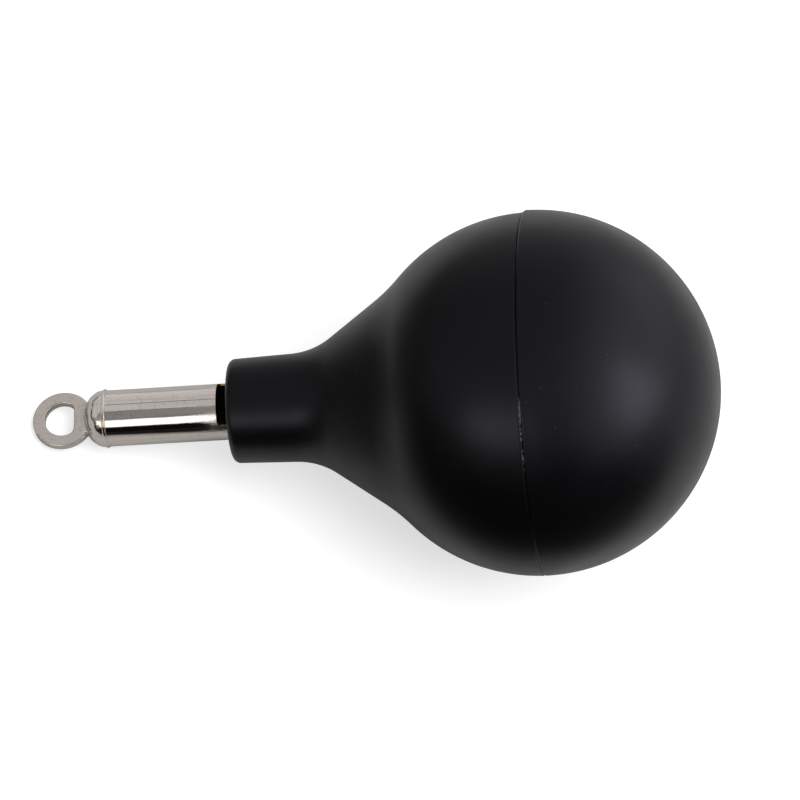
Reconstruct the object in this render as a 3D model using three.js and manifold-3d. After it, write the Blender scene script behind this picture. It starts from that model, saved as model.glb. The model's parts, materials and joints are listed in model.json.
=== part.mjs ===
// Squeeze-bulb whistle: a rubber ball with a funnel and a thick neck, moulded in two halves, and a
// plated brass tube whistle pushed into the neck. It lies at rest on its ball and on its ring.
// Millimetres, +Z up. Every piece is first made along +Y, from the ball's centre towards the ring,
// with +Z through the upper sound window, and the whole is then laid down.
import * as THREE from "three";
import { mergeVertices } from "three/addons/utils/BufferGeometryUtils.js";
import Module from "manifold-3d";

const wasm = await Module();
wasm.setup();

// Driving dimensions. A name that ends in At is a distance along the axis from the ball's centre.
const GAP = 0.3; // between neighbouring pieces
const BALL_RADIUS = 50;
const WALL = 3;
const SEAM_AT = 0.7;
const SHOULDER_SLOPE = 46.7; // degrees from the axis, where the ball turns into the funnel
const FUNNEL_SLOPE = 35.6; // degrees from the axis, on the funnel's straight flank
const FLANK_LENGTH = 15.5;
const SHOULDER_RADIUS = 51.3;
const THROAT_RADIUS = 20.3;
const NECK_TAPER = 2;
const NECK_END_AT = 85;
const LIP_RADIUS = 2.2;
const BORE_START_AT = 57;
const INNER_FUNNEL_POLAR = 40; // degrees from the axis, where the inner ball ends

const TUBE_RADIUS = 7.8;
const TUBE_WALL = 0.55;
const TUBE_START_AT = 58;
const TUBE_END_AT = 119;
const WINDOW_AT = 83; // near edge of the sound windows
const WINDOW_LENGTH = 5.4;
const WINDOW_HALF_ANGLE = 57; // degrees
const WINDWAY = 0.75; // height of the air slot over each block

const BEAD_RADIUS = 8.2;
const BEAD_ROUND = 0.7;
const DOME_TOP_AT = 126;
const CAP_WALL = 0.6;
const SPIGOT_START_AT = 117.3;

const RING_RADIUS = 8.4;
const RING_HOLE_RADIUS = 4.95;
const RING_THICKNESS = 2.4;
const RING_CENTRE_AT = 132.05;
const RING_FLAT_AT = 128.8; // straight side of the ring's hole

const DIVIDER_THICKNESS = 0.6;
const STOP_AT = 110;
const STOP_THICKNESS = 0.8;

const ROUND_STEPS = 48;

const rad = THREE.MathUtils.degToRad;
const point = (x, y) => new THREE.Vector2(x, y);

// Points of an arc, first and last included. Angles in degrees, counted from +X towards +Y.
function arc(centreX, centreY, radius, from, to, steps) {
  return Array.from({ length: steps + 1 }, (_, i) => {
    const angle = rad(from + ((to - from) * i) / steps);
    return point(centreX + radius * Math.cos(angle), centreY + radius * Math.sin(angle));
  });
}

// Turns a closed outline of (radius, distance along the axis) round the axis.
function turned(outline, steps = ROUND_STEPS) {
  const geometry = new THREE.LatheGeometry(outline, steps);
  return solid(geometry);
}

// A shape drawn across the axis, in X and Z, extruded along it between two places.
function extrudedAlong(shape, from, to) {
  const geometry = new THREE.ExtrudeGeometry(shape, { depth: to - from, bevelEnabled: false });
  geometry.rotateX(-Math.PI / 2).scale(1, 1, -1).translate(0, from, 0);
  return solid(geometry);
}

// The manifold-3d solid of a closed geometry.
function solid(geometry) {
  const bare = new THREE.BufferGeometry().setAttribute("position", geometry.getAttribute("position"));
  bare.setIndex(geometry.index);
  const merged = mergeVertices(bare, 1e-4);
  const triVerts = new Uint32Array(merged.index.array);
  const vertProperties = merged.attributes.position.array;
  const made = new wasm.Manifold(new wasm.Mesh({ numProp: 3, vertProperties, triVerts }));
  if (made.volume() > 0) return made;
  for (let i = 0; i < triVerts.length; i += 3) {
    [triVerts[i + 1], triVerts[i + 2]] = [triVerts[i + 2], triVerts[i + 1]];
  }
  return new wasm.Manifold(new wasm.Mesh({ numProp: 3, vertProperties, triVerts }));
}

// A named mesh made from a solid.
function piece(name, shape, material) {
  const { vertProperties, triVerts } = shape.getMesh();
  const geometry = new THREE.BufferGeometry();
  geometry.setAttribute("position", new THREE.BufferAttribute(vertProperties, 3));
  geometry.setIndex(new THREE.BufferAttribute(triVerts, 1));
  geometry.computeVertexNormals();
  const mesh = new THREE.Mesh(geometry, material);
  mesh.name = name;
  return mesh;
}

const rubber = () => new THREE.MeshStandardMaterial({ color: 0x1d1d1e, roughness: 0.55, metalness: 0 });
const plating = () => new THREE.MeshStandardMaterial({ color: 0xb9afa4, roughness: 0.25, metalness: 1 });
const brass = () => new THREE.MeshStandardMaterial({ color: 0xb08d4c, roughness: 0.35, metalness: 1 });

// Outer outline of the front half, from the seam to the lip's flat face.
function frontOutline() {
  const shoulderPolar = 90 - SHOULDER_SLOPE;
  const seamAngle = THREE.MathUtils.radToDeg(Math.asin((SEAM_AT + GAP / 2) / BALL_RADIUS));
  const ball = arc(0, 0, BALL_RADIUS, seamAngle, 90 - shoulderPolar, 8);
  const shoulder = ball[ball.length - 1];
  // Both hollow arcs turn about a centre outside the rubber, square to the slope where they start.
  const shoulderX = shoulder.x + SHOULDER_RADIUS * Math.cos(rad(SHOULDER_SLOPE));
  const shoulderY = shoulder.y + SHOULDER_RADIUS * Math.sin(rad(SHOULDER_SLOPE));
  const turn = arc(shoulderX, shoulderY, SHOULDER_RADIUS, 180 + SHOULDER_SLOPE, 180 + FUNNEL_SLOPE, 3);
  const flankStart = turn[turn.length - 1];
  const slope = rad(FUNNEL_SLOPE);
  const flankEnd = point(
    flankStart.x - FLANK_LENGTH * Math.sin(slope),
    flankStart.y + FLANK_LENGTH * Math.cos(slope),
  );
  const throatX = flankEnd.x + THROAT_RADIUS * Math.cos(slope);
  const throatY = flankEnd.y + THROAT_RADIUS * Math.sin(slope);
  const throat = arc(throatX, throatY, THROAT_RADIUS, 180 + FUNNEL_SLOPE, 180 + NECK_TAPER, 6);
  const neckStart = throat[throat.length - 1];
  const lipY = NECK_END_AT - LIP_RADIUS;
  const lipX = neckStart.x - (lipY - neckStart.y) * Math.tan(rad(NECK_TAPER)) - LIP_RADIUS;
  const lip = arc(lipX, lipY, LIP_RADIUS, 0, 90, 4);
  return [...ball, ...turn.slice(1), ...throat, ...lip];
}

function frontShell() {
  const boreRadius = TUBE_RADIUS + GAP;
  const innerRadius = BALL_RADIUS - WALL;
  const innerSeam = THREE.MathUtils.radToDeg(Math.asin((SEAM_AT + GAP / 2) / innerRadius));
  const inner = arc(0, 0, innerRadius, 90 - INNER_FUNNEL_POLAR, innerSeam, 6);
  const outer = frontOutline();
  return turned([
    ...outer,
    point(boreRadius, NECK_END_AT),
    point(boreRadius, BORE_START_AT),
    ...inner,
    outer[0],
  ]);
}

function rearShell() {
  const innerRadius = BALL_RADIUS - WALL;
  const rim = SEAM_AT - GAP / 2;
  const outerSeam = THREE.MathUtils.radToDeg(Math.asin(rim / BALL_RADIUS));
  const innerSeam = THREE.MathUtils.radToDeg(Math.asin(rim / innerRadius));
  const outer = arc(0, 0, BALL_RADIUS, -90, outerSeam, 13);
  const inner = arc(0, 0, innerRadius, innerSeam, -90, 10);
  outer[0].x = 0;
  inner[inner.length - 1].x = 0;
  return turned([...outer, ...inner]);
}

// The tube, with a sound window on each side for its two chambers.
function barrel() {
  const inner = TUBE_RADIUS - TUBE_WALL;
  const tube = turned([
    point(inner, TUBE_START_AT),
    point(TUBE_RADIUS, TUBE_START_AT),
    point(TUBE_RADIUS, TUBE_END_AT),
    point(inner, TUBE_END_AT),
    point(inner, TUBE_START_AT),
  ]);
  const chord = TUBE_RADIUS * Math.cos(rad(WINDOW_HALF_ANGLE));
  const cutter = (side) => {
    const box = new THREE.BoxGeometry(3 * TUBE_RADIUS, WINDOW_LENGTH, TUBE_RADIUS);
    box.translate(0, WINDOW_AT + WINDOW_LENGTH / 2, side * (chord + TUBE_RADIUS / 2));
    return solid(box);
  };
  return tube.subtract(cutter(1)).subtract(cutter(-1));
}

// Outline of the cap's dome: a quarter of an ellipse from its foot to its top.
function domeArc(footRadius, footAt, topAt, steps) {
  return arc(0, 0, 1, 0, 90, steps).map(({ x, y }) => point(footRadius * x, footAt + (topAt - footAt) * y));
}

function endCap() {
  const capStart = TUBE_END_AT + GAP;
  const beadX = BEAD_RADIUS - BEAD_ROUND;
  const spigot = TUBE_RADIUS - TUBE_WALL - GAP;
  const bead = arc(beadX, capStart + BEAD_ROUND, BEAD_ROUND, -90, 60, 5);
  const foot = bead[bead.length - 1];
  const outer = domeArc(foot.x, foot.y, DOME_TOP_AT, 6).slice(1);
  const inner = domeArc(spigot - CAP_WALL, foot.y, DOME_TOP_AT - CAP_WALL, 5).reverse();
  outer[outer.length - 1].x = 0;
  inner[0].x = 0;
  return turned([
    ...inner,
    point(spigot - CAP_WALL, SPIGOT_START_AT),
    point(spigot, SPIGOT_START_AT),
    point(spigot, capStart),
    ...bead,
    ...outer,
  ]);
}

// Flat ring with a D-shaped hole, its root hollowed to sit on the cap's dome.
function hangingRing() {
  const plate = new THREE.Shape().absarc(0, RING_CENTRE_AT, RING_RADIUS, 0, 2 * Math.PI);
  const drop = RING_CENTRE_AT - RING_FLAT_AT;
  const flatAngle = Math.asin(drop / RING_HOLE_RADIUS);
  const hole = new THREE.Path().absarc(0, RING_CENTRE_AT, RING_HOLE_RADIUS, -flatAngle, Math.PI + flatAngle);
  hole.closePath();
  plate.holes.push(hole);
  const geometry = new THREE.ExtrudeGeometry(plate, {
    depth: RING_THICKNESS,
    bevelEnabled: false,
    curveSegments: 24,
  });
  geometry.translate(0, 0, -RING_THICKNESS / 2);
  const seat = turned([
    point(0, TUBE_END_AT),
    point(BEAD_RADIUS + GAP, TUBE_END_AT),
    ...domeArc(BEAD_RADIUS + GAP, TUBE_END_AT + BEAD_ROUND, DOME_TOP_AT + GAP, 8).slice(0, -1),
    point(0, DOME_TOP_AT + GAP),
  ]);
  return solid(geometry).subtract(seat);
}

function chamberDivider() {
  const inner = TUBE_RADIUS - TUBE_WALL - GAP;
  const end = SPIGOT_START_AT - GAP;
  const width = 2 * Math.sqrt(inner ** 2 - (DIVIDER_THICKNESS / 2) ** 2);
  const plate = new THREE.BoxGeometry(width, end - TUBE_START_AT, DIVIDER_THICKNESS);
  plate.translate(0, (TUBE_START_AT + end) / 2, 0);
  return solid(plate);
}

// Half round that lies on the divider: radius outside the given angle, lowered inside it.
function halfRound(radius, lowered, halfAngle) {
  const flat = DIVIDER_THICKNESS / 2 + GAP;
  const side = THREE.MathUtils.radToDeg(Math.asin(flat / radius));
  const outline = [
    ...arc(0, 0, radius, side, 90 - halfAngle, 4),
    ...arc(0, 0, lowered, 90 - halfAngle, 90 + halfAngle, 12),
    ...arc(0, 0, radius, 90 + halfAngle, 180 - side, 4),
  ];
  return new THREE.Shape(outline);
}

function windwayBlock() {
  const inner = TUBE_RADIUS - TUBE_WALL;
  const shape = halfRound(inner - GAP, inner - WINDWAY, WINDOW_HALF_ANGLE);
  return extrudedAlong(shape, TUBE_START_AT, WINDOW_AT);
}

function chamberStop() {
  const radius = TUBE_RADIUS - TUBE_WALL - GAP;
  return extrudedAlong(halfRound(radius, radius, 45), STOP_AT, STOP_AT + STOP_THICKNESS);
}

// Dip of the axis below level at which the ball and the ring's far edge both touch the floor.
function restDip() {
  const far = RING_CENTRE_AT + RING_RADIUS;
  const half = RING_THICKNESS / 2;
  return Math.asin(BALL_RADIUS / Math.hypot(far, half)) - Math.atan(half / far);
}

const underSide = new THREE.Group(); // the lower chamber's pieces are the upper ones turned over
underSide.rotation.y = Math.PI;
underSide.add(
  piece("lower_windway_block", windwayBlock(), brass()),
  piece("chamber_stop", chamberStop(), brass()),
);

const whistle = new THREE.Group();
whistle.add(
  piece("whistle_barrel", barrel(), plating()),
  piece("end_cap", endCap(), plating()),
  piece("hanging_ring", hangingRing(), plating()),
  piece("chamber_divider", chamberDivider(), brass()),
  piece("upper_windway_block", windwayBlock(), brass()),
  underSide,
);

const bulb = new THREE.Group();
bulb.add(
  piece("bulb_front_shell", frontShell(), rubber()),
  piece("bulb_rear_shell", rearShell(), rubber()),
);

const alongFloor = new THREE.Group(); // turns the axis from +Y to -X
alongFloor.rotation.z = Math.PI / 2;
alongFloor.add(bulb, whistle);

const lying = new THREE.Group(); // lets the ring's end down to the floor
lying.rotation.y = -restDip();
lying.add(alongFloor);

// The origin is under the middle of the whole, on the floor.
const extent = new THREE.Box3().setFromObject(lying, true);
const middle = extent.getCenter(new THREE.Vector3());
lying.position.set(-middle.x, -middle.y, -extent.min.z);

const group = new THREE.Group();
group.add(lying);

export default group;
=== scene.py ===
"""Looks of a squeeze-bulb whistle: a moulded rubber bulb that holds a plated brass tube whistle.

Each piece is modelled in millimetres along the bulb's own axis: +Z from the ball's centre to the ring,
+Y through the upper sound window. Its finished mesh is then laid in the frame, in metres.
"""

import json
import logging
import math
from dataclasses import dataclass
from enum import Enum

import bmesh
import bpy
from mathutils import Matrix, Vector, noise


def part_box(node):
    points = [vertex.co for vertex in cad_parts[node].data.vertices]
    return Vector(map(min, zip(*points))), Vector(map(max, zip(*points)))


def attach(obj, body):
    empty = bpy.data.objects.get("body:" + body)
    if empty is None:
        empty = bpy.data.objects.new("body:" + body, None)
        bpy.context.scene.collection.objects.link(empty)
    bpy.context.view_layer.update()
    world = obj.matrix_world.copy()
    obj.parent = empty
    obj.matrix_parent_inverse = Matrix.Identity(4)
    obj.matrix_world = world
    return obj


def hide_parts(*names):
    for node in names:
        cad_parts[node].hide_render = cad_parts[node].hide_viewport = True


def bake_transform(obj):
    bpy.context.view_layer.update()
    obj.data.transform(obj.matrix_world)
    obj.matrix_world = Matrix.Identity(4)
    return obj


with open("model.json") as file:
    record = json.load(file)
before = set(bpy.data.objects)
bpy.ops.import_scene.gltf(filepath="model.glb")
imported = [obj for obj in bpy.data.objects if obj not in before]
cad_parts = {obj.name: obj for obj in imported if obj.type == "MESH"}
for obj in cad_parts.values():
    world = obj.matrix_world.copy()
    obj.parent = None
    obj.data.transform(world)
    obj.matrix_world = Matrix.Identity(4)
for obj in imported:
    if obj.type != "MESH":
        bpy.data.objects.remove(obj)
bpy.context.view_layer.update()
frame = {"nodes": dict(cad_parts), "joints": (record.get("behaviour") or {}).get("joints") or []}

LOG = logging.getLogger("bulb_whistle")
MM = 0.001
Span = tuple[float, float]
Outline = list[Span]


# ---------------------------------------------------------------- where the object lies


@dataclass(frozen=True)
class Lay:
    """Where the bulb lies in the frame: the ball's centre and the directions of its own axes."""

    centre: Vector
    along: Vector
    up: Vector

    @classmethod
    def of_frame(cls, ball_radius: float) -> "Lay":
        """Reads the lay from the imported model.

        Args:
            ball_radius: radius of the ball in millimetres.

        Returns:
            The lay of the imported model.
        """
        along = Vector(frame["joints"][0]["axis"]).normalized()
        up = Vector((0, 1, 0)).cross(along).normalized()
        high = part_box("bulb_rear_shell")[1]
        radius = ball_radius * MM
        return cls(Vector((high.x - radius, 0, high.z - radius)), along, up)

    def matrix(self) -> Matrix:
        """Gives the transform that lays a piece in the frame.

        Returns:
            The transform from a piece's own millimetres to the frame's metres.
        """
        side = self.up.cross(self.along)
        turn = Matrix((side, self.up, self.along)).transposed().to_4x4()
        return Matrix.Translation(self.centre) @ turn @ Matrix.Scale(MM, 4)

    def point(self, at: float) -> Vector:
        """Returns the point of the axis that lies `at` millimetres from the ball's centre."""
        return self.centre + self.along * at * MM


# ---------------------------------------------------------------- mesh tools


def arc(x: float, y: float, radius: float, start: float, end: float, step: float = 3.0) -> Outline:
    """Draws an arc.

    Args:
        x: the centre's distance from the axis.
        y: the centre's place along the axis.
        radius: the arc's radius.
        start: angle of the first point in degrees, from outwards towards the ring.
        end: angle of the last point.
        step: largest angle between two points.

    Returns:
        The points, from the first angle to the last.
    """
    count = max(1, math.ceil(abs(end - start) / step))
    angles = [math.radians(start + (end - start) * i / count) for i in range(count + 1)]
    return [(x + radius * math.cos(a), y + radius * math.sin(a)) for a in angles]


def turned(outline: Outline, steps: int, closed: bool = True) -> bmesh.types.BMesh:
    """Turns an outline of (radius, place along the axis) round the axis.

    Args:
        outline: the points, counter-clockwise.
        steps: faces round the axis.
        closed: whether the last point joins the first.

    Returns:
        The turned body, its doubles merged and its faces outwards.
    """
    bm = bmesh.new()
    points = [bm.verts.new((0, r, z)) for r, z in outline]
    pairs = list(zip(points, points[1:]))
    if closed:
        pairs.append((points[-1], points[0]))
    edges = [bm.edges.new(pair) for pair in pairs]
    bmesh.ops.spin(
        bm,
        geom=points + edges,
        cent=(0, 0, 0),
        axis=(0, 0, 1),
        angle=2 * math.pi,
        steps=steps,
        use_merge=True,
    )
    bmesh.ops.remove_doubles(bm, verts=bm.verts, dist=1e-4)
    bmesh.ops.recalc_face_normals(bm, faces=bm.faces)
    return bm


def laid(bm: bmesh.types.BMesh, name: str, lay: Lay, *materials: bpy.types.Material) -> bpy.types.Object:
    """Lays a finished body in the frame as a smooth-shaded object at the origin.

    Args:
        bm: the body, in its own millimetres. It is freed.
        name: the new piece's name.
        lay: where the object lies.
        materials: the piece's materials, in slot order.

    Returns:
        The new object.
    """
    bm.transform(lay.matrix())
    mesh = bpy.data.meshes.new(name)
    bm.to_mesh(mesh)
    bm.free()
    mesh.shade_smooth()
    for material in materials:
        mesh.materials.append(material)
    piece = bpy.data.objects.new(name, mesh)
    bpy.context.scene.collection.objects.link(piece)
    LOG.info("%s: %d faces", name, len(mesh.polygons))
    return piece


def sharpen(bm: bmesh.types.BMesh, angle: float) -> None:
    """Marks as sharp each edge whose two faces meet at more than `angle` degrees."""
    for edge in bm.edges:
        edge.smooth = not (edge.is_manifold and edge.calc_face_angle() > math.radians(angle))


# ---------------------------------------------------------------- finishes


def linear(code: str) -> tuple[float, float, float, float]:
    """Returns the linear colour of an sRGB hex code such as "#b0a090"."""
    parts = [int(code[i : i + 2], 16) / 255 for i in (1, 3, 5)]
    return (*[p / 12.92 if p <= 0.04045 else ((p + 0.055) / 1.055) ** 2.4 for p in parts], 1.0)


def add(tree: bpy.types.NodeTree, kind: str, inputs: dict | None = None, **settings) -> bpy.types.Node:
    """Adds a node with its settings and links.

    Args:
        tree: the node tree.
        kind: the node's type name.
        inputs: socket name or number to a value, or to another node's output that feeds it.
        settings: the node's own properties.

    Returns:
        The new node.
    """
    node = tree.nodes.new(kind)
    for name, value in settings.items():
        setattr(node, name, value)
    for key, value in (inputs or {}).items():
        if isinstance(value, bpy.types.NodeSocket):
            tree.links.new(value, node.inputs[key])
        else:
            node.inputs[key].default_value = value
    return node


def own_millimetres(tree: bpy.types.NodeTree, lay: Lay) -> bpy.types.NodeSocket:
    """Finds the coordinates of the surface in the bulb's own axes.

    Args:
        tree: the material's node tree.
        lay: where the object lies.

    Returns:
        The coordinates, in millimetres.
    """
    place, turn, scale = lay.matrix().inverted().decompose()
    seen = add(tree, "ShaderNodeTexCoord")
    inputs = {
        "Vector": seen.outputs["Object"],
        "Location": place,
        "Rotation": turn.to_euler("XYZ"),
        "Scale": scale,
    }
    return add(tree, "ShaderNodeMapping", inputs).outputs["Vector"]


def ranged(value: bpy.types.NodeSocket, span: Span, to: Span = (0.0, 1.0)) -> dict:
    """Returns the inputs that map `value` from one span to another."""
    return {0: value, 1: span[0], 2: span[1], 3: to[0], 4: to[1]}


def new_material(name: str) -> tuple[bpy.types.Material, bpy.types.NodeTree, bpy.types.Node]:
    """Makes a material with nodes.

    Args:
        name: the material's name.

    Returns:
        The material, its node tree and its Principled shader.
    """
    material = bpy.data.materials.new(name)
    material.use_nodes = True
    return material, material.node_tree, material.node_tree.nodes["Principled BSDF"]


@dataclass(frozen=True)
class MouldedRubber:
    """Vulcanised natural rubber, press-moulded in a blasted mould: near black, satin, with dust."""

    black: str = "#060607"
    dust: str = "#3a3836"
    talc: str = "#6c6a69"
    roughness: Span = (0.32, 0.39)
    ior: float = 1.52
    gloss: float = 0.3  # tuned to the tones: less than the 0.5 that suits a smooth rubber
    sheen: tuple[float, float, float, float] = (0.98, 0.96, 1.1, 1.0)  # tuned, no physical reason
    blotch_mm: float = 17.0
    blotch_span: Span = (0.35, 0.65)
    grain_mm: float = 0.5  # a blasted mould leaves about 0.1 mm, drawn coarser to show
    grain_height: float = 0.00002
    dust_pitch_mm: float = 3.2
    dust_edge: Span = (0.03, 0.06)  # a speck's radius, as a share of the pitch
    dust_left_out: float = 0.7  # share of the places that have no speck
    seam_at: float = 0.7
    talc_half_width: float = 0.22
    talc_towards: tuple[float, float, float] = (0.656, 0.755, 0.0)
    talc_patch: Span = (0.965, 0.99)  # cosines of the patch's outer and inner angles
    talc_more: Span = (-0.07, 0.14)
    talc_shown: Span = (0.62, 0.68)
    crumb_mm: float = 1.1

    def material(self, lay: Lay) -> bpy.types.Material:
        """Builds the material.

        Args:
            lay: where the object lies.

        Returns:
            The material.
        """
        made, tree, shader = new_material("moulded_black_rubber")
        place = own_millimetres(tree, lay)
        blotch = add(
            tree, "ShaderNodeTexNoise", {"Vector": place, "Scale": 1 / self.blotch_mm, "Detail": 3.0}
        )
        rough = add(
            tree,
            "ShaderNodeMapRange",
            ranged(blotch.outputs["Fac"], self.blotch_span, self.roughness),
        )
        dust = self._dust(tree, place)
        talc = self._talc(tree, place)
        dusty = add(
            tree,
            "ShaderNodeMix",
            {0: dust, 6: linear(self.black), 7: linear(self.dust)},
            data_type="RGBA",
        )
        colour = add(
            tree,
            "ShaderNodeMix",
            {0: talc, 6: dusty.outputs[2], 7: linear(self.talc)},
            data_type="RGBA",
        )
        grain = add(tree, "ShaderNodeTexNoise", {"Vector": place, "Scale": 1 / self.grain_mm, "Detail": 2.0})
        bump = add(
            tree,
            "ShaderNodeBump",
            {"Strength": 1.0, "Distance": self.grain_height, "Height": grain.outputs["Fac"]},
        )
        shader.inputs["IOR"].default_value = self.ior
        shader.inputs["Specular IOR Level"].default_value = self.gloss
        shader.inputs["Specular Tint"].default_value = self.sheen
        tree.links.new(colour.outputs[2], shader.inputs["Base Color"])
        tree.links.new(rough.outputs[0], shader.inputs["Roughness"])
        tree.links.new(bump.outputs["Normal"], shader.inputs["Normal"])
        return made

    def _dust(self, tree: bpy.types.NodeTree, place: bpy.types.NodeSocket) -> bpy.types.NodeSocket:
        """Scatters single specks of dust.

        Args:
            tree: the material's node tree.
            place: the surface's coordinates in millimetres.

        Returns:
            Where the specks lie, from 0 to 1.
        """
        cells = add(tree, "ShaderNodeTexVoronoi", {"Vector": place, "Scale": 1 / self.dust_pitch_mm})
        speck = add(tree, "ShaderNodeMapRange", ranged(cells.outputs["Distance"], self.dust_edge, (1, 0)))
        kept = add(tree, "ShaderNodeSeparateColor", {0: cells.outputs["Color"]})
        some = add(
            tree, "ShaderNodeMath", {0: kept.outputs[0], 1: self.dust_left_out}, operation="GREATER_THAN"
        )
        both = {0: speck.outputs[0], 1: some.outputs[0]}
        return add(tree, "ShaderNodeMath", both, operation="MULTIPLY").outputs[0]

    def _talc(self, tree: bpy.types.NodeTree, place: bpy.types.NodeSocket) -> bpy.types.NodeSocket:
        """Leaves crumbs of mould talc in the seam's groove.

        Args:
            tree: the material's node tree.
            place: the surface's coordinates in millimetres.

        Returns:
            Where the talc lies, from 0 to 1.
        """
        axes = add(tree, "ShaderNodeSeparateXYZ", {0: place})
        in_groove = add(
            tree,
            "ShaderNodeMath",
            {0: axes.outputs[2], 1: self.seam_at, 2: self.talc_half_width},
            operation="COMPARE",
        )
        flat = add(tree, "ShaderNodeCombineXYZ", {0: axes.outputs[0], 1: axes.outputs[1]})
        round_seam = add(tree, "ShaderNodeVectorMath", {0: flat.outputs[0]}, operation="NORMALIZE")
        towards = add(
            tree,
            "ShaderNodeVectorMath",
            {0: round_seam.outputs[0], 1: self.talc_towards},
            operation="DOT_PRODUCT",
        )
        patch = add(
            tree, "ShaderNodeMapRange", ranged(towards.outputs["Value"], self.talc_patch, self.talc_more)
        )
        crumbs = add(
            tree, "ShaderNodeTexNoise", {"Vector": place, "Scale": 1 / self.crumb_mm, "Detail": 4.0}
        )
        more = add(tree, "ShaderNodeMath", {0: crumbs.outputs["Fac"], 1: patch.outputs[0]}, operation="ADD")
        shown = add(tree, "ShaderNodeMapRange", ranged(more.outputs[0], self.talc_shown))
        both = {0: in_groove.outputs[0], 1: shown.outputs[0]}
        return add(tree, "ShaderNodeMath", both, operation="MULTIPLY").outputs[0]


@dataclass(frozen=True)
class WearDegree:
    """One kind of wear: the span along the axis over which dullness fades, what is left of it, its film."""

    fades: Span
    least: float
    film: Span


class Wear(Enum):
    """How the nickel plating of a piece has worn."""

    TUBE = WearDegree((89.5, 97.0), 0.02, (0.0, 0.22))  # rubbed dull beside the neck
    CAP = WearDegree((0.0, 1.0), 0.55, (0.0, 0.06))  # through to the brass on the bead
    RING = WearDegree((0.0, 1.0), 0.9, (0.2, 0.26))  # scuffed all over


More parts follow.
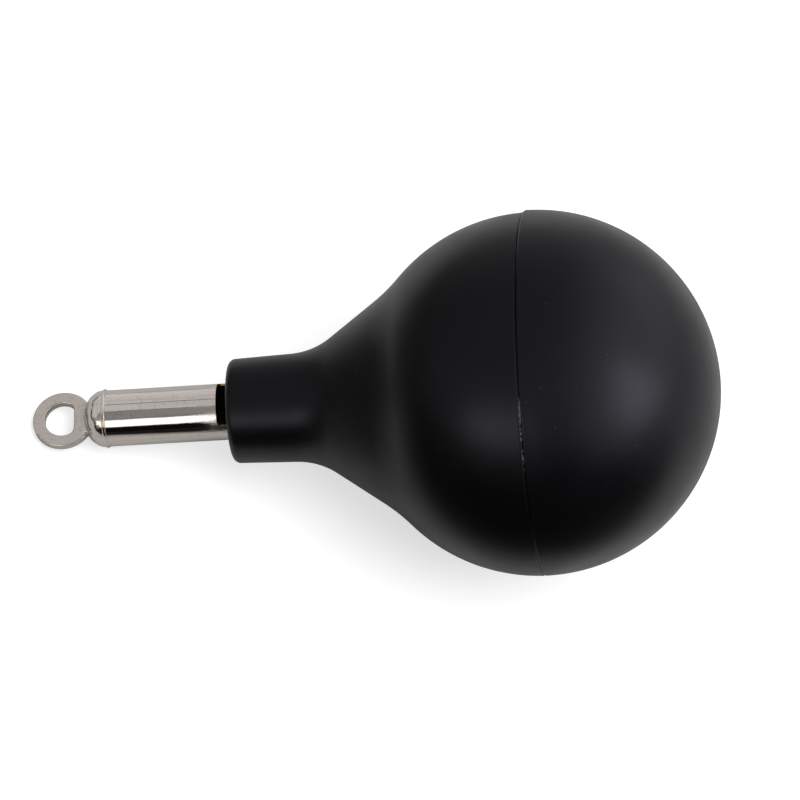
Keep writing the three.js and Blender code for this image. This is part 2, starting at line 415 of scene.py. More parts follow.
@dataclass(frozen=True)
class NickelPlate:
    """Bright nickel plating over brass: a warm grey mirror, with brass where it has worn through."""

    nickel: str = "#d3ccc5"
    brass: str = "#b99552"
    grime: str = "#5d5248"
    roughness: Span = (0.07, 0.27)  # bright, and dull
    wave_mm: float = 6.0
    wave_height: float = 0.00004
    smudge_mm: float = 3.0
    smudge_span: Span = (0.45, 0.62)
    smudge_share: Span = (0.35, 1.0)
    scuff_mm: float = 0.9
    scuff_height: float = 0.000004
    dirt_span: Span = (0.55, 0.75)
    dirt_share: Span = (0.0, 0.2)
    streak_mm: Span = (1.3, 40.0)  # across and along the drawn tube
    streak_span: Span = (0.45, 0.7)
    pit_mm: float = 0.4  # likely finer on the real plating, drawn coarse enough to show
    pit_depth: float = 0.00005
    crest: Span = (8.06, 8.18)  # radii between which the bead's crest begins
    worn_towards: tuple[float, float, float] = (0.695, 0.719, 0.0)  # where the bead rubs through first
    worn_angle: Span = (0.9, 0.97)  # cosines of that place's outer and inner angles
    worn_share: Span = (0.1, 0.5)
    through_span: Span = (0.72, 0.8)
    through_share: Span = (0.0, 0.9)

    def material(self, lay: Lay, wear: Wear) -> bpy.types.Material:
        """Builds the plating for one piece.

        Args:
            lay: where the object lies.
            wear: how that piece has worn.

        Returns:
            The material.
        """
        made, tree, shader = new_material("nickel_plated_brass_" + wear.name.lower())
        place = own_millimetres(tree, lay)
        axes = add(tree, "ShaderNodeSeparateXYZ", {0: place})
        across, along = self.streak_mm
        stretch = {"Vector": place, "Scale": (1 / across, 1 / across, 1 / along)}
        drawn = add(tree, "ShaderNodeMapping", stretch)
        streak = add(tree, "ShaderNodeTexNoise", {"Vector": drawn.outputs[0], "Scale": 1.0, "Detail": 3.0})
        smudge = add(
            tree, "ShaderNodeTexNoise", {"Vector": place, "Scale": 1 / self.smudge_mm, "Detail": 5.0}
        )
        scuff = add(tree, "ShaderNodeTexNoise", {"Vector": place, "Scale": 1 / self.scuff_mm, "Detail": 4.0})
        fades = ranged(axes.outputs[2], wear.value.fades, (1.0, wear.value.least))
        dull = add(tree, "ShaderNodeMapRange", fades).outputs[0]
        smeared = add(
            tree, "ShaderNodeMapRange", ranged(smudge.outputs["Fac"], self.smudge_span, self.smudge_share)
        )
        dulled = add(tree, "ShaderNodeMath", {0: dull, 1: smeared.outputs[0]}, operation="MULTIPLY")
        rough = add(tree, "ShaderNodeMapRange", ranged(dulled.outputs[0], (0.0, 1.0), self.roughness))
        dirty = add(
            tree, "ShaderNodeMapRange", ranged(scuff.outputs["Fac"], self.dirt_span, self.dirt_share)
        )
        streaked = add(
            tree, "ShaderNodeMapRange", ranged(streak.outputs["Fac"], self.streak_span, wear.value.film)
        )
        film = add(tree, "ShaderNodeMath", {0: dirty.outputs[0], 1: streaked.outputs[0]}, operation="ADD")
        clean = add(
            tree,
            "ShaderNodeMix",
            {0: film.outputs[0], 6: linear(self.nickel), 7: linear(self.grime)},
            data_type="RGBA",
        )
        colour = add(
            tree,
            "ShaderNodeMix",
            {0: self._worn_through(tree, axes, scuff, wear), 6: clean.outputs[2], 7: linear(self.brass)},
            data_type="RGBA",
        )
        shader.inputs["Metallic"].default_value = 1.0
        tree.links.new(colour.outputs[2], shader.inputs["Base Color"])
        tree.links.new(rough.outputs[0], shader.inputs["Roughness"])
        tree.links.new(self._uneven(tree, place, scuff, dull), shader.inputs["Normal"])
        return made

    def _uneven(
        self,
        tree: bpy.types.NodeTree,
        place: bpy.types.NodeSocket,
        scuff: bpy.types.Node,
        dull: bpy.types.NodeSocket,
    ) -> bpy.types.NodeSocket:
        """Makes the plating's waves, scuffs and pits.

        Args:
            tree: the material's node tree.
            place: the surface's coordinates in millimetres.
            scuff: the scuffs' noise.
            dull: how dull the plating is, from 0 to 1.

        Returns:
            The uneven surface's normal.
        """
        wave = add(tree, "ShaderNodeTexNoise", {"Vector": place, "Scale": 1 / self.wave_mm, "Detail": 1.0})
        bump = add(
            tree,
            "ShaderNodeBump",
            {"Strength": 1.0, "Distance": self.wave_height, "Height": wave.outputs["Fac"]},
        )
        fine = add(
            tree,
            "ShaderNodeBump",
            {
                "Strength": 0.6,
                "Distance": self.scuff_height,
                "Height": scuff.outputs["Fac"],
                "Normal": bump.outputs["Normal"],
            },
        )
        pits = add(tree, "ShaderNodeTexNoise", {"Vector": place, "Scale": 1 / self.pit_mm, "Detail": 1.0})
        pitted = add(tree, "ShaderNodeMath", {0: pits.outputs["Fac"], 1: dull}, operation="MULTIPLY")
        pitting = add(
            tree,
            "ShaderNodeBump",
            {
                "Strength": 1.0,
                "Distance": self.pit_depth,
                "Height": pitted.outputs[0],
                "Normal": fine.outputs["Normal"],
            },
        )
        return pitting.outputs["Normal"]

    def _worn_through(
        self, tree: bpy.types.NodeTree, axes: bpy.types.Node, scuff: bpy.types.Node, wear: Wear
    ) -> bpy.types.NodeSocket:
        """Shows brass on one side of the bead's crest, and elsewhere nearly nowhere.

        Args:
            tree: the material's node tree.
            axes: the surface's coordinates, apart.
            scuff: the scuffs' noise.
            wear: how the piece has worn.

        Returns:
            Where brass shows, from 0 to 1.
        """
        flat = add(tree, "ShaderNodeCombineXYZ", {0: axes.outputs[0], 1: axes.outputs[1]})
        radius = add(tree, "ShaderNodeVectorMath", {0: flat.outputs[0]}, operation="LENGTH")
        crest = add(tree, "ShaderNodeMapRange", ranged(radius.outputs["Value"], self.crest))
        round_bead = add(tree, "ShaderNodeVectorMath", {0: flat.outputs[0]}, operation="NORMALIZE")
        towards = add(
            tree,
            "ShaderNodeVectorMath",
            {0: round_bead.outputs[0], 1: self.worn_towards},
            operation="DOT_PRODUCT",
        )
        rubbed = add(
            tree, "ShaderNodeMapRange", ranged(towards.outputs["Value"], self.worn_angle, self.worn_share)
        )
        worn = add(tree, "ShaderNodeMath", {0: crest.outputs[0], 1: rubbed.outputs[0]}, operation="MULTIPLY")
        edge = worn.outputs[0] if wear is Wear.CAP else 0.0
        more = add(tree, "ShaderNodeMath", {0: scuff.outputs["Fac"], 1: edge}, operation="ADD")
        through = ranged(more.outputs[0], self.through_span, self.through_share)
        return add(tree, "ShaderNodeMapRange", through).outputs[0]


@dataclass(frozen=True)
class Brass:
    """Bare brass: rolled sheet or turned rod, left unplated, brown where air reaches it; made near black, it
    is painted shade inside the whistle.
    """

    name: str
    metal: str
    tarnish_and_shade: str
    roughness: Span
    patch_mm: float = 2.2
    patch_height: float = 0.00002
    tarnish_and_shade_span: Span = (0.4, 0.62)
    rough_span: Span = (0.35, 0.65)

    def material(self, lay: Lay) -> bpy.types.Material:
        """Builds the material.

        Args:
            lay: where the object lies.

        Returns:
            The material.
        """
        made, tree, shader = new_material(self.name)
        place = own_millimetres(tree, lay)
        patch = add(tree, "ShaderNodeTexNoise", {"Vector": place, "Scale": 1 / self.patch_mm, "Detail": 5.0})
        share = add(tree, "ShaderNodeMapRange", ranged(patch.outputs["Fac"], self.tarnish_and_shade_span))
        colour = add(
            tree,
            "ShaderNodeMix",
            {0: share.outputs[0], 6: linear(self.metal), 7: linear(self.tarnish_and_shade)},
            data_type="RGBA",
        )
        rough = add(
            tree, "ShaderNodeMapRange", ranged(patch.outputs["Fac"], self.rough_span, self.roughness)
        )
        bump = add(
            tree,
            "ShaderNodeBump",
            {"Strength": 0.5, "Distance": self.patch_height, "Height": patch.outputs["Fac"]},
        )
        shader.inputs["Metallic"].default_value = 1.0
        tree.links.new(colour.outputs[2], shader.inputs["Base Color"])
        tree.links.new(rough.outputs[0], shader.inputs["Roughness"])
        tree.links.new(bump.outputs["Normal"], shader.inputs["Normal"])
        return made


# ---------------------------------------------------------------- the rubber bulb


@dataclass
class RubberBulb:
    """The ball, funnel and neck, moulded in two halves that are bonded at the ball's widest place."""

    ball_radius: float = 50.0
    wall: float = 3.0
    seam_at: float = 0.7
    shoulder_slope: float = 46.7
    funnel_slope: float = 35.6
    flank: float = 15.5
    shoulder_radius: float = 51.3
    throat_radius: float = 20.3
    neck_taper: float = 2.0
    neck_end: float = 85.0
    lip_radius: float = 2.0
    bore_radius: float = 7.85
    bore_start: float = 57.0
    inner_polar: float = 40.0
    mouth_radius: float = 0.8
    seam_reach: float = 1.2
    seam_profile: tuple[Span, ...] = (
        (-0.22, 0.03),
        (-0.198, 0.12),
        (-0.088, 0.26),
        (0.0, 0.4),
        (0.05, 0.6),
        (0.03, 0.9),
    )  # the groove's edge: out from the ball, and away from the seam
    rear_excess: float = 0.3  # the rear mould is a little larger,
    rear_shift: Span = (-0.27, 0.14)  # and was closed a little off centre
    steps: int = 192

    def build(self, lay: Lay, rubber: bpy.types.Material) -> list[bpy.types.Object]:
        """Makes both halves.

        Args:
            lay: where the object lies.
            rubber: their material.

        Returns:
            The front half, which shortens as the bulb is pressed, and the rear half.
        """
        front = self._roughen_seam(turned(self.front_outline(), self.steps))
        front_piece = laid(front, "front_half", lay, rubber)
        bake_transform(front_piece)
        rear = self._roughen_seam(turned(self.rear_outline(), self.steps, closed=False))
        bmesh.ops.translate(rear, verts=rear.verts, vec=(*self.rear_shift, 0))
        rear_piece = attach(laid(rear, "rear_half", lay, rubber), "bulb_rear")
        for piece, node in ((front_piece, "bulb_front_shell"), (rear_piece, "bulb_rear_shell")):
            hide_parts(node)
        return [front_piece, rear_piece]

    def _seam_edge(self, radius: float, side: int) -> Outline:
        """Draws one half's edge of the seam groove, from its bottom out to the ball.

        Args:
            radius: the half's outer radius.
            side: 1 for the half towards the ring, -1 for the other.

        Returns:
            The edge's outline.
        """
        return [(radius + out, self.seam_at + side * away) for out, away in self.seam_profile]

    def front_outline(self) -> Outline:
        """Draws the half with the funnel and the neck.

        Returns:
            The closed outline.
        """
        start = math.degrees(math.asin((self.seam_at + self.seam_reach) / self.ball_radius))
        ball = arc(0, 0, self.ball_radius, start, self.shoulder_slope, 1.5)
        x, y = ball[-1]
        turn = math.radians(self.shoulder_slope)
        x += self.shoulder_radius * math.cos(turn)
        y += self.shoulder_radius * math.sin(turn)
        slopes = (180 + self.shoulder_slope, 180 + self.funnel_slope)
        shoulder = arc(x, y, self.shoulder_radius, *slopes, 1.5)
        slope = math.radians(self.funnel_slope)
        x, y = shoulder[-1]
        flank = [
            (x - self.flank * share * math.sin(slope), y + self.flank * share * math.cos(slope))
            for share in (0.2, 0.4, 0.6, 0.8, 1.0)
        ]
        x, y = flank[-1]
        x += self.throat_radius * math.cos(slope)
        y += self.throat_radius * math.sin(slope)
        throat = arc(x, y, self.throat_radius, 180 + self.funnel_slope, 180 + self.neck_taper, 3.0)
        x, y = throat[-1]
        lip_y = self.neck_end - self.lip_radius
        lip_x = x - (lip_y - y) * math.tan(math.radians(self.neck_taper)) - self.lip_radius
        neck = [(x + (lip_x + self.lip_radius - x) * i / 6, y + (lip_y - y) * i / 6) for i in range(1, 6)]
        lip = arc(lip_x, lip_y, self.lip_radius, 0, 90, 9)
        mouth_end = self.neck_end - self.mouth_radius
        mouth = arc(self.bore_radius + self.mouth_radius, mouth_end, self.mouth_radius, 90, 180, 15)
        depth = self.neck_end - self.bore_start
        bore = [(self.bore_radius, mouth_end - i * depth / 6) for i in (1, 3)]
        inner_start = math.degrees(math.asin(self.seam_at / (self.ball_radius - self.wall)))
        inner = arc(0, 0, self.ball_radius - self.wall, 90 - self.inner_polar, inner_start, 4)
        rim = [(inner[-1][0], self.seam_at + 0.03)]
        outer = self._seam_edge(self.ball_radius, 1) + ball + shoulder[1:] + flank + throat[1:] + neck + lip
        return outer + mouth + bore + [(self.bore_radius, self.bore_start)] + inner[:-1] + rim

    def rear_outline(self) -> Outline:
        """Draws the plain dome half.

        Returns:
            The outline, from pole to pole round the open rim.
        """
        radius = self.ball_radius + self.rear_excess
        end = math.degrees(math.asin((self.seam_at - self.seam_reach) / radius))
        outer = arc(0, 0, radius, -90, end, 1.5)
        inner_end = math.degrees(math.asin(self.seam_at / (self.ball_radius - self.wall)))
        inner = arc(0, 0, self.ball_radius - self.wall, inner_end, -90, 4)
        rim = [(inner[0][0], self.seam_at - 0.03)]
        return outer + self._seam_edge(radius, -1)[::-1] + rim + inner[1:]

    def _roughen_seam(self, bm: bmesh.types.BMesh) -> bmesh.types.BMesh:
        """Makes a half's edge at the seam a little uneven.

        Args:
            bm: the half, which is changed.

        Returns:
            The half.
        """
        for vert in bm.verts:
            away = abs(vert.co.z - self.seam_at)
            outwards = Vector((vert.co.x, vert.co.y, 0))
            if away < 1.0 and outwards.length > self.ball_radius - 0.5 * self.wall:
                ragged = noise.noise(vert.co * 0.55) * 0.08 + noise.noise(vert.co * 0.12) * 0.06
                vert.co += outwards.normalized() * ragged * (1 - away)
        return bm


# ---------------------------------------------------------------- the whistle


@dataclass
class Tube:
    """The whistle's barrel: a drawn brass tube with a lengthwise seam and a sound window on each side."""

    radius: float = 7.8
    wall: float = 0.55
    start: float = 58.0
    end: float = 119.4
    window_at: float = 83.0
    window_length: float = 5.4
    window_half_angle: float = 57.0
    window_corner: float = 1.2
    seam_depth: float = 0.1
    mouth_edge: float = 0.15
    rings_below: tuple[float, ...] = (70.0, 80.0, 82.4)  # places along the tube, before the windows
    rings_above: tuple[float, ...] = (89.1, 92.0, 100.0, 108.0, 114.0)  # and after them
    steps: int = 240

    def build(self, lay: Lay, *materials: bpy.types.Material) -> bpy.types.Object:
        """Makes the tube.

        Args:
            lay: where the object lies.
            materials: plating, cut edges, and the inside, a near-black brass that paints the shade within
                the tube.

        Returns:
            The tube.
        """
        bm = turned(self._outline(), self.steps)
        # the inner wall gets the near-black brass: painted shade inside the tube
        for face in bm.faces:
            middle = face.calc_center_median()
            if Vector((middle.x, middle.y)).length < self.radius - 0.6 * self.wall:
                face.material_index = 2
        self._press_seam(bm)
        for side in (1, -1):
            self._round_corners(bm, side)
            self._cut_window(bm, side)
        sharpen(bm, 50)
        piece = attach(laid(bm, "barrel_tube", lay, *materials), "whistle")
        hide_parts("whistle_barrel")
        return piece

    def _outline(self) -> Outline:
        """Draws the tube's wall, with places along it where the windows are cut.

        Returns:
            The closed outline.
        """
        edge = self.mouth_edge
        cuts = [self.window_at + self.window_length * i / 12 for i in range(13)]
        outer = [*self.rings_below, *cuts, *self.rings_above, self.end - 1]
        inner_radius = self.radius - self.wall
        mouth = arc(self.radius - edge, self.start + edge, edge, -90, 0, 30)
        outside = [(self.radius, z) for z in outer]
        top = [(self.radius, self.end), (inner_radius, self.end)]
        above, below = self.rings_above[2::-1], self.rings_below[::-2]
        inside = [(inner_radius, z) for z in [*above, *cuts[::-1], *below]]
        return mouth + outside + top + inside + [(inner_radius, self.start)]

    def _press_seam(self, bm: bmesh.types.BMesh) -> None:
        """Presses the soldered lengthwise seam a little into the tube's outside.

        Args:
            bm: the tube, which is changed.
        """
        for vert in bm.verts:
            outside = Vector((vert.co.x, vert.co.y)).length > self.radius - 0.1
            if outside and abs(vert.co.x) < 0.05 and vert.co.y > 0:
                vert.co.y -= self.seam_depth

    def _round_corners(self, bm: bmesh.types.BMesh, side: int) -> None:
        """Draws the edge of one window into round corners at its end towards the ring.

        Args:
            bm: the tube, which is changed.
            side: 1 for the upper window, -1 for the lower.
        """
        corner = self.window_corner
        window_end = self.window_at + self.window_length
        for vert in bm.verts:
            angle = abs(math.atan2(vert.co.x, side * vert.co.y))
            inwards = (math.radians(self.window_half_angle) - angle) * self.radius
            past = vert.co.z - (window_end - corner)
            if not (-0.01 < inwards < corner and 0 < past < corner + 0.01):
                continue
            if inwards < 0.01:
                vert.co.z -= past * 2 / 3
            else:
                rise = math.sqrt(corner**2 - (corner - inwards) ** 2)
                vert.co.z = min(vert.co.z, window_end - corner + rise)

    def _cut_window(self, bm: bmesh.types.BMesh, side: int) -> None:
        """Cuts one sound window and closes the wall round it.

        Args:
            bm: the tube, which is changed.
            side: 1 for the upper window, -1 for the lower.
        """
        window_end = self.window_at + self.window_length
        half = math.radians(self.window_half_angle)
        inside = [
            face
            for face in bm.faces
            if self.window_at < face.calc_center_median().z < window_end
            and abs(math.atan2(face.calc_center_median().x, side * face.calc_center_median().y)) < half
        ]
        bmesh.ops.delete(bm, geom=inside, context="FACES")
        rim = [edge for edge in bm.edges if edge.is_boundary]
        walls = bmesh.ops.bridge_loops(bm, edges=rim)["faces"]
        for face in walls:
            face.material_index = 1
        bmesh.ops.recalc_face_normals(bm, faces=bm.faces)


@dataclass
class EndCap:
    """The domed cap that closes the tube, spun from sheet with a rolled bead at its foot."""

    start: float = 119.2
    bead_radius: float = 8.2
    bead_round: float = 0.62
    bead_end: float = 55.0  # degrees, where the bead turns into the dome
    foot_radius: float = 7.85
    dome_top: float = 126.2
    spigot_radius: float = 6.9
    spigot_start: float = 117.3
    wall: float = 0.6
    dent: float = 0.09
    dent_pitch: float = 0.55  # dents per millimetre, roughly
    steps: int = 144

    def build(self, lay: Lay, *materials: bpy.types.Material) -> bpy.types.Object:
        """Makes the cap.

        Args:
            lay: where the object lies.
            materials: the plating.

        Returns:
            The cap.
        """
        bead_x = self.bead_radius - self.bead_round
        bead = arc(bead_x, self.start + self.bead_round, self.bead_round, -90, self.bead_end, 12)
        outer = self._dome(self.foot_radius, bead[-1][1] - 0.05, self.dome_top, 4)
        inner = self._dome(self.spigot_radius - self.wall, bead[-1][1], self.dome_top - self.wall, 8)[::-1]
        spigot = [
            (self.spigot_radius - self.wall, self.spigot_start),
            (self.spigot_radius, self.spigot_start),
            (self.spigot_radius, self.start),
        ]
        bm = turned(inner + spigot + bead + outer, self.steps, closed=False)
        for vert in bm.verts:
            if vert.co.z > self.start - 0.01:
                vert.co += vert.normal * noise.noise(vert.co * self.dent_pitch) * self.dent
        sharpen(bm, 50)
        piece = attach(laid(bm, "domed_cap", lay, *materials), "whistle")
        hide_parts("end_cap")
        return piece

    @staticmethod
    def _dome(foot_radius: float, foot: float, top: float, step: float) -> Outline:
        """Returns the dome's outline from its foot to the point on the axis, a quarter of an ellipse."""
        quarter = arc(0, 0, 1, 0, 90, step)[:-1]
        return [(foot_radius * x, foot + (top - foot) * y) for x, y in quarter] + [(0, top)]


@dataclass
class Ring:
    """The flat ring with a D-shaped hole, and the solder that holds it to the cap."""

    radius: float = 8.4
    hole_radius: float = 4.95
    thickness: float = 2.4
    centre: float = 132.05
    flat: float = 128.8
    corner: float = 0.9  # how softly the hole turns into its straight side
    rounding: float = 0.5
    solder_size: tuple[float, float, float] = (9.4, 2.1, 3.6)
    solder_flare: float = 2.1  # how much thicker it is at the dome
    solder_at: float = 125.8
    steps: int = 144

    def build(
        self, lay: Lay, plating: bpy.types.Material, solder: bpy.types.Material
    ) -> list[bpy.types.Object]:
        """Makes the ring and its solder.

        Args:
            lay: where the object lies.
            plating: the ring's material.
            solder: the joint's material.

        Returns:
            The ring and the solder fillet.
        """
        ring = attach(laid(self._ring(), "flat_ring", lay, plating), "whistle")
        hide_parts("hanging_ring")
        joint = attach(laid(self._solder(), "ring_solder", lay, solder), "whistle")
        return [ring, joint]

    def _ring(self) -> bmesh.types.BMesh:
        """Makes the ring's plate, with its edges rounded.

        Returns:
            The plate.
        """
        bm = bmesh.new()
        flat_to_side = Matrix.Rotation(math.radians(90), 4, "X")
        bmesh.ops.create_circle(bm, segments=self.steps, radius=self.radius, matrix=flat_to_side)
        hole = bmesh.ops.create_circle(
            bm, segments=self.steps, radius=self.hole_radius, matrix=flat_to_side
        )["verts"]
        flat = self.flat - self.centre
        for vert in hole:
            above = vert.co.z - flat
            vert.co.z = flat + (above + math.hypot(above, self.corner)) / 2
        bmesh.ops.translate(bm, verts=bm.verts, vec=(0, -self.thickness / 2, self.centre))
        face = bmesh.ops.bridge_loops(bm, edges=bm.edges)["faces"]
        lifted = bmesh.ops.extrude_face_region(bm, geom=face)["geom"]
        moved = [part for part in lifted if isinstance(part, bmesh.types.BMVert)]
        bmesh.ops.translate(bm, verts=moved, vec=(0, self.thickness, 0))
        bmesh.ops.remove_doubles(bm, verts=bm.verts, dist=1e-3)
        bmesh.ops.recalc_face_normals(bm, faces=bm.faces)
        corners = [edge for edge in bm.edges if edge.calc_face_angle() > math.radians(60)]
        bmesh.ops.bevel(
            bm, geom=corners, offset=self.rounding, affect="EDGES", segments=4, profile=0.5, material=-1
        )
        return bm

    def _solder(self) -> bmesh.types.BMesh:
        """Makes the fillet of solder between the ring's root and the dome.

        Returns:
            The fillet.
        """
        bm = bmesh.new()
        bmesh.ops.create_cube(bm, size=1.0)
        bmesh.ops.scale(bm, verts=bm.verts, vec=self.solder_size)
        for vert in bm.verts:
            if vert.co.z < 0:
                vert.co.y *= self.solder_flare
        bmesh.ops.translate(bm, verts=bm.verts, vec=(0, 0, self.solder_at))
        bmesh.ops.subdivide_edges(bm, edges=bm.edges, cuts=5, use_grid_fill=True)
        for _ in range(3):
            bmesh.ops.smooth_vert(
                bm, verts=bm.verts, factor=0.5, use_axis_x=True, use_axis_y=True, use_axis_z=True
            )
        bmesh.ops.subdivide_edges(bm, edges=bm.edges, cuts=1, use_grid_fill=True, smooth=1.0)
        return bm


@dataclass
class WhistleInside:
    """The divider, the chamber stop and the two windway blocks, which keep their plain shapes."""

    nodes: tuple[str, ...] = (
        "chamber_divider",
        "chamber_stop",
        "upper_windway_block",
        "lower_windway_block",
    )

    def dress(self, brass: bpy.types.Material) -> list[bpy.types.Object]:
        """Gives each piece the near-black brass, which paints the shade inside the whistle.

        Args:
            brass: the material.

        Returns:
            The pieces.
        """
        pieces = [frame["nodes"][name] for name in self.nodes]
        for piece in pieces:
            piece.data.materials.clear()
            piece.data.materials.append(brass)
        return pieces


# ---------------------------------------------------------------- studio


@dataclass(frozen=True)
class SoftBox:
    """A soft box far off: its middle and half sizes, in degrees right and up from the camera's line."""

    right: float
    up: float
    half_width: float
    half_height: float
    blur: float
    radiance: float
    tint: str = "#ffffff"


@dataclass
class Studio:
    """A white table under a soft studio light, and the camera."""

    tilt: float = 6.31  # degrees that the ring lies further off than the ball
    roll: float = 3.28  # degrees that the ring hangs below level in the view
    turn: float = 28.0  # degrees that the window's middle is turned up from the camera
    distance: float = 1936.0
    focal_share: float = 8.8118  # focal length over the sensor's width
    aside: Span = (37.88, -1.70)  # from the view's middle to the ball, right and down
    key_energy: float = 28.0
    key_size: float = 1.7
    key_away: float = 1.7
    key_aside: Span = (0.45, 0.35)  # how far right and up of the camera's line, as slopes
    walls: tuple[tuple[float, float], ...] = (
        (-180, 0.6),
        (-80, 0.5),
        (-74, 0.004),
        (-38, 0.004),
        (-35, 0.3),
        (-8, 0.31),
        (24, 0.31),
        (30, 0.28),
        (90, 0.3),
        (115, 0.42),
        (180, 0.42),
    )  # brightness of the room at angles up from the camera's line
    boxes: tuple[SoftBox, ...] = (
        SoftBox(-27.5, -24, 18.5, 13, 3, 1.22, "#fffaf4"),
        SoftBox(64, -4, 14, 32, 8, 2.25, "#f4f8ff"),
        SoftBox(68, 35, 38, 85, 20, 0.8, "#f8faff"),
        SoftBox(-50, 110, 25, 45, 18, -0.1),  # not a real box: negative light that darkens the walls
    )
    cards: tuple[SoftBox, ...] = (
        SoftBox(-26, 82, 54, 51, 0, 0.45, "#fefcfd"),
        SoftBox(-12, -24, 40, 14, 0, 0.9, "#ffffff"),
    )  # white cards stood close to the whistle, which light nothing else
    card_away: float = 0.8
    card_aim: float = 105.0  # the place along the axis that the cards face
    table_size: float = 6.0
    table: str = "#bcbcbc"
    paper: str = "#b8b7b6"  # in reflections, and
    past_paper: str = "#1c1c1c"  # past the paper's edge
    paper_ahead: Span = (0.041, 0.083)  # where the white paper ends, in front
    paper_slant: float = 0.24  # how much further it reaches beside the ball than beside the ring
    paper_left: Span = (0.12, 0.2)  # and past the ring
    shadow_lift: float = 0.63  # a glow that only the camera sees, which lightens the shadow

    def axes(self, lay: Lay) -> tuple[Vector, Vector, Vector]:
        """Works out the view's directions.

        Args:
            lay: where the object lies.

        Returns:
            The directions to the right, up, and back towards the camera.
        """
        tilt, roll, turn = (math.radians(a) for a in (self.tilt, self.roll, self.turn))
        across = Vector((0, 1, 0))
        facing = math.cos(turn) * lay.up - math.sin(turn) * across
        above = math.sin(turn) * lay.up + math.cos(turn) * across
        back = math.cos(tilt) * facing - math.sin(tilt) * lay.along
        drawn = math.cos(tilt) * lay.along + math.sin(tilt) * facing
        right = -math.cos(roll) * drawn - math.sin(roll) * above
        up = -math.sin(roll) * drawn + math.cos(roll) * above
        return right, up, back

    def build(self, lay: Lay) -> None:
        """Makes the camera, the floor, the lights and the surroundings.

        Args:
            lay: where the object lies.
        """
        right, up, back = self.axes(lay)
        self._camera(lay, right, up, back)
        self._floor(right, up)
        self._key_light(lay, right, up, back)
        self._surroundings(right, up, back)

    def _camera(self, lay: Lay, right: Vector, up: Vector, back: Vector) -> None:
        """Makes the camera.

        Args:
            lay: where the object lies.
            right: the view's direction to the right.
            up: the view's upward direction.
            back: the direction towards the camera.
        """
        data = bpy.data.cameras.new("camera")
        data.sensor_width = 36.0
        data.lens = self.focal_share * data.sensor_width
        data.clip_start, data.clip_end = 0.1, 50.0
        camera = bpy.data.objects.new("camera", data)
        bpy.context.scene.collection.objects.link(camera)
        sideways, down = self.aside
        place = lay.centre + MM * (self.distance * back - sideways * right + down * up)
        camera.matrix_world = Matrix.Translation(place) @ Matrix((right, up, back)).transposed().to_4x4()
        bpy.context.scene.camera = camera

    def _floor(self, right: Vector, up: Vector) -> None:
        """Makes the table top: plain white to the camera, and in reflections a sheet of paper that ends.

        Args:
            right: the view's direction to the right.
            up: the view's upward direction.
        """
        bm = bmesh.new()
        bmesh.ops.create_grid(bm, x_segments=1, y_segments=1, size=self.table_size)
        mesh = bpy.data.meshes.new("floor")
        bm.to_mesh(mesh)
        bm.free()
        material, tree, shader = new_material("white_table")
        place = add(tree, "ShaderNodeTexCoord").outputs["Object"]
        seen = add(tree, "ShaderNodeLightPath").outputs["Is Camera Ray"]
        ahead = self._paper(tree, place, -up - self.paper_slant * right, self.paper_ahead)
        left = self._paper(tree, place, -right, self.paper_left)
        sheet = add(tree, "ShaderNodeMath", {0: ahead, 1: left}, operation="MULTIPLY").outputs[0]
        mirrored = add(
            tree,
            "ShaderNodeMix",
            {0: sheet, 6: linear(self.past_paper), 7: linear(self.paper)},
            data_type="RGBA",
        ).outputs[2]
        tint = add(tree, "ShaderNodeMix", {0: seen, 6: mirrored, 7: linear(self.table)}, data_type="RGBA")
        glow = add(tree, "ShaderNodeMath", {0: seen, 1: self.shadow_lift}, operation="MULTIPLY")
        tree.links.new(tint.outputs[2], shader.inputs["Base Color"])
        tree.links.new(glow.outputs[0], shader.inputs["Emission Strength"])
        shader.inputs["Emission Color"].default_value = (1, 1, 1, 1)
        shader.inputs["Roughness"].default_value = 1.0
        shader.inputs["Specular IOR Level"].default_value = 0.0
        mesh.materials.append(material)
        floor = bpy.data.objects.new("floor", mesh)
        bpy.context.scene.collection.objects.link(floor)

    @staticmethod
    def _paper(
        tree: bpy.types.NodeTree, place: bpy.types.NodeSocket, towards: Vector, span: Span
    ) -> bpy.types.NodeSocket:
        """Ends the paper in one direction.

        Args:
            tree: the table's node tree.
            place: the table's coordinates.
            towards: the direction in which the paper ends.
            span: where its edge begins and ends to fade.

        Returns:
            1 on the paper and 0 past its edge.
        """
        level = Vector((towards.x, towards.y, 0)).normalized()
        out = add(tree, "ShaderNodeVectorMath", {0: place, 1: level}, operation="DOT_PRODUCT")
        inputs = ranged(out.outputs["Value"], span, (1.0, 0.0))
        return add(tree, "ShaderNodeMapRange", inputs, interpolation_type="SMOOTHSTEP").outputs[0]

    def _key_light(self, lay: Lay, right: Vector, up: Vector, back: Vector) -> None:
        """Makes the large soft light that whitens the table, from the upper right.

        Args:
            lay: where the object lies.
            right: the view's direction to the right.
            up: the view's upward direction.
            back: the direction towards the camera.
        """
        data = bpy.data.lights.new("key", "AREA")
        data.shape, data.size, data.energy = "DISK", self.key_size, self.key_energy
        light = bpy.data.objects.new("key", data)
        bpy.context.scene.collection.objects.link(light)
        sideways, upwards = self.key_aside
        direction = (back + sideways * right + upwards * up).normalized()
        light.location = lay.centre + direction * self.key_away
        light.rotation_mode = "QUATERNION"
        light.rotation_quaternion = direction.to_track_quat("Z", "Y")
        light.visible_camera = light.visible_glossy = False

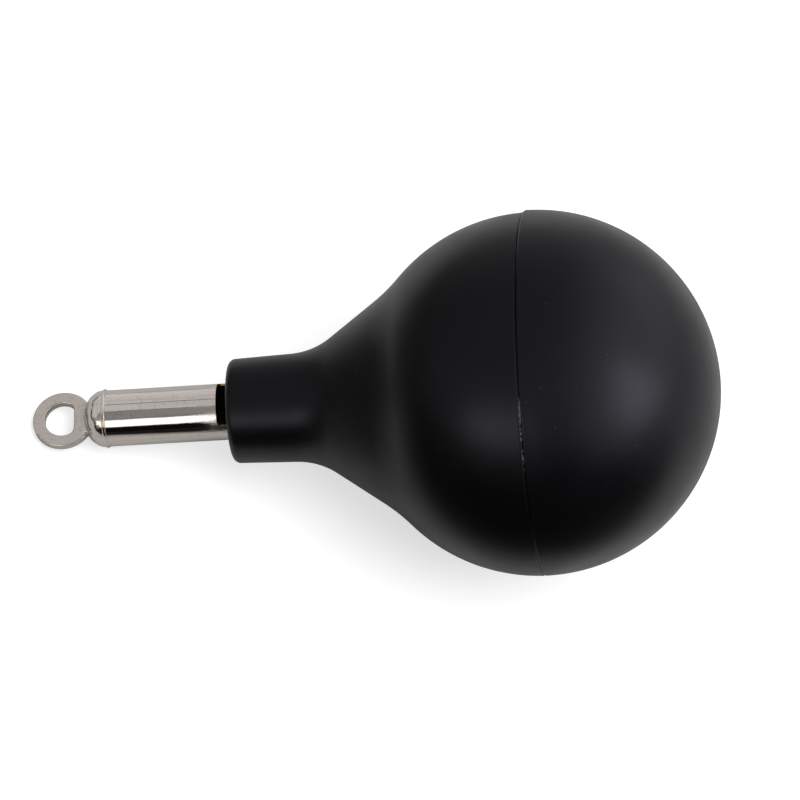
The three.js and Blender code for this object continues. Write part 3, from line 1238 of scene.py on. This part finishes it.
    def light_whistle(self, lay: Lay, pieces: list[bpy.types.Object]) -> None:
        """Stands the white cards round the whistle, and lets them light only its own pieces.

        Args:
            lay: where the object lies.
            pieces: the whistle's pieces.
        """
        right, up, back = self.axes(lay)
        lit = bpy.data.collections.new("whistle_lit_by_cards")
        for piece in pieces:
            lit.objects.link(piece)
        for card in self.cards:
            side, rise = math.radians(card.right), math.radians(card.up)
            facing = math.cos(rise) * back + math.sin(rise) * up
            direction = math.cos(side) * facing + math.sin(side) * right
            width = 2 * self.card_away * math.tan(math.radians(card.half_width))
            height = 2 * self.card_away * math.tan(math.radians(card.half_height))
            data = bpy.data.lights.new("card", "AREA")
            data.shape, data.size, data.size_y = "RECTANGLE", width, height
            data.energy = card.radiance * math.pi * width * height
            data.color = linear(card.tint)[:3]
            light = bpy.data.objects.new("card", data)
            bpy.context.scene.collection.objects.link(light)
            across = (right - right.dot(direction) * direction).normalized()
            above = direction.cross(across)
            turn = Matrix((across, above, direction)).transposed().to_4x4()
            place = lay.point(self.card_aim) + self.card_away * direction
            light.matrix_world = Matrix.Translation(place) @ turn
            light.visible_camera = light.visible_diffuse = False
            light.light_linking.receiver_collection = lit

    def _surroundings(self, right: Vector, up: Vector, back: Vector) -> None:
        """Makes the room that lights the object and shows in its gloss. The camera sees plain white.

        Args:
            right: the view's direction to the right.
            up: the view's upward direction.
            back: the direction towards the camera.
        """
        world = bpy.data.worlds.new("studio")
        bpy.context.scene.world = world
        world.use_nodes = True
        tree = world.node_tree
        tree.nodes.clear()
        ray = add(tree, "ShaderNodeTexCoord").outputs["Generated"]
        sideways, upwards, backwards = (
            add(tree, "ShaderNodeVectorMath", {0: ray, 1: axis}, operation="DOT_PRODUCT").outputs["Value"]
            for axis in (right, up, back)
        )
        height = add(tree, "ShaderNodeMath", {0: upwards, 1: backwards}, operation="ARCTAN2").outputs[0]
        side = add(tree, "ShaderNodeMath", {0: sideways}, operation="ARCSINE").outputs[0]
        total = self._walls(tree, height)
        for box in self.boxes:
            across = self._edge(tree, side, box.right, box.half_width, box.blur)
            along = self._edge(tree, height, box.up, box.half_height, box.blur)
            lit = add(tree, "ShaderNodeMath", {0: across, 1: along}, operation="MULTIPLY").outputs[0]
            tint = [box.radiance * part for part in linear(box.tint)[:3]]
            shine = add(tree, "ShaderNodeVectorMath", {0: lit, 1: tint}, operation="MULTIPLY").outputs[0]
            total = add(tree, "ShaderNodeVectorMath", {0: total, 1: shine}, operation="ADD").outputs[0]
        shown = add(tree, "ShaderNodeBackground", {0: total, 1: 1.0})
        plain = add(tree, "ShaderNodeBackground", {0: (1, 1, 1, 1), 1: 1.0})
        path = add(tree, "ShaderNodeLightPath")
        mixed = add(
            tree,
            "ShaderNodeMixShader",
            {0: path.outputs["Is Camera Ray"], 1: shown.outputs[0], 2: plain.outputs[0]},
        )
        add(tree, "ShaderNodeOutputWorld", {0: mixed.outputs[0]})

    def _walls(self, tree: bpy.types.NodeTree, height: bpy.types.NodeSocket) -> bpy.types.NodeSocket:
        """Makes the walls.

        Args:
            tree: the world's node tree.
            height: the ray's angle up from the camera's line.

        Returns:
            The room's brightness at that angle.
        """
        inputs = ranged(height, (-math.pi, math.pi))
        share = add(tree, "ShaderNodeMapRange", inputs).outputs[0]
        ramp = add(tree, "ShaderNodeValToRGB", {0: share})
        elements = ramp.color_ramp.elements
        for index, (angle, value) in enumerate(self.walls):
            place = (angle + 180) / 360
            element = elements[index] if index < 2 else elements.new(place)
            element.position = place
            element.color = (value, value, value, 1)
        return ramp.outputs["Color"]

    @staticmethod
    def _edge(
        tree: bpy.types.NodeTree, angle: bpy.types.NodeSocket, middle: float, half: float, blur: float
    ) -> bpy.types.NodeSocket:
        """Bounds a soft box in one direction.

        Args:
            tree: the world's node tree.
            angle: the ray's angle.
            middle: the box's middle in degrees.
            half: its half size in degrees.
            blur: half the width of its blurred edge in degrees.

        Returns:
            1 inside the box and 0 outside.
        """
        apart = {0: angle, 1: math.radians(middle)}
        off = add(tree, "ShaderNodeMath", apart, operation="SUBTRACT").outputs[0]
        away = add(tree, "ShaderNodeMath", {0: off}, operation="ABSOLUTE").outputs[0]
        near, far = math.radians(half - blur), math.radians(half + blur)
        inputs = ranged(away, (near, far), (1.0, 0.0))
        return add(tree, "ShaderNodeMapRange", inputs, interpolation_type="SMOOTHSTEP").outputs[0]


# ---------------------------------------------------------------- all of it


def main() -> None:
    """Builds every sub-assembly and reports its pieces."""
    logging.basicConfig(level=logging.INFO, format="%(message)s")
    bpy.context.scene.view_settings.view_transform = "Standard"
    bulb = RubberBulb()
    lay = Lay.of_frame(bulb.ball_radius)
    studio = Studio()
    studio.build(lay)

    rubber = MouldedRubber().material(lay)
    plate = NickelPlate()
    cut_edge = Brass("cut_brass_edge", "#c9a052", "#8a6a34", (0.25, 0.4)).material(lay)
    # near-black brass for the inside of the whistle: painted shade for the dark inside of the tube and its
    # pieces
    shade_dark_brass = Brass("shade_painted_brass", "#241c12", "#0f0c09", (0.5, 0.7)).material(lay)

    rubber_halves = bulb.build(lay, rubber)
    whistle = [Tube().build(lay, plate.material(lay, Wear.TUBE), cut_edge, shade_dark_brass)]
    whistle.append(EndCap().build(lay, plate.material(lay, Wear.CAP)))
    ring_plating = plate.material(lay, Wear.RING)
    whistle += Ring().build(lay, ring_plating, ring_plating)
    whistle += WhistleInside().dress(shade_dark_brass)
    studio.light_whistle(lay, whistle)
    for piece in rubber_halves + whistle:
        LOG.info("piece %s in %s", piece.name, ", ".join(m.name for m in piece.data.materials))


if __name__ == "__main__":
    main()
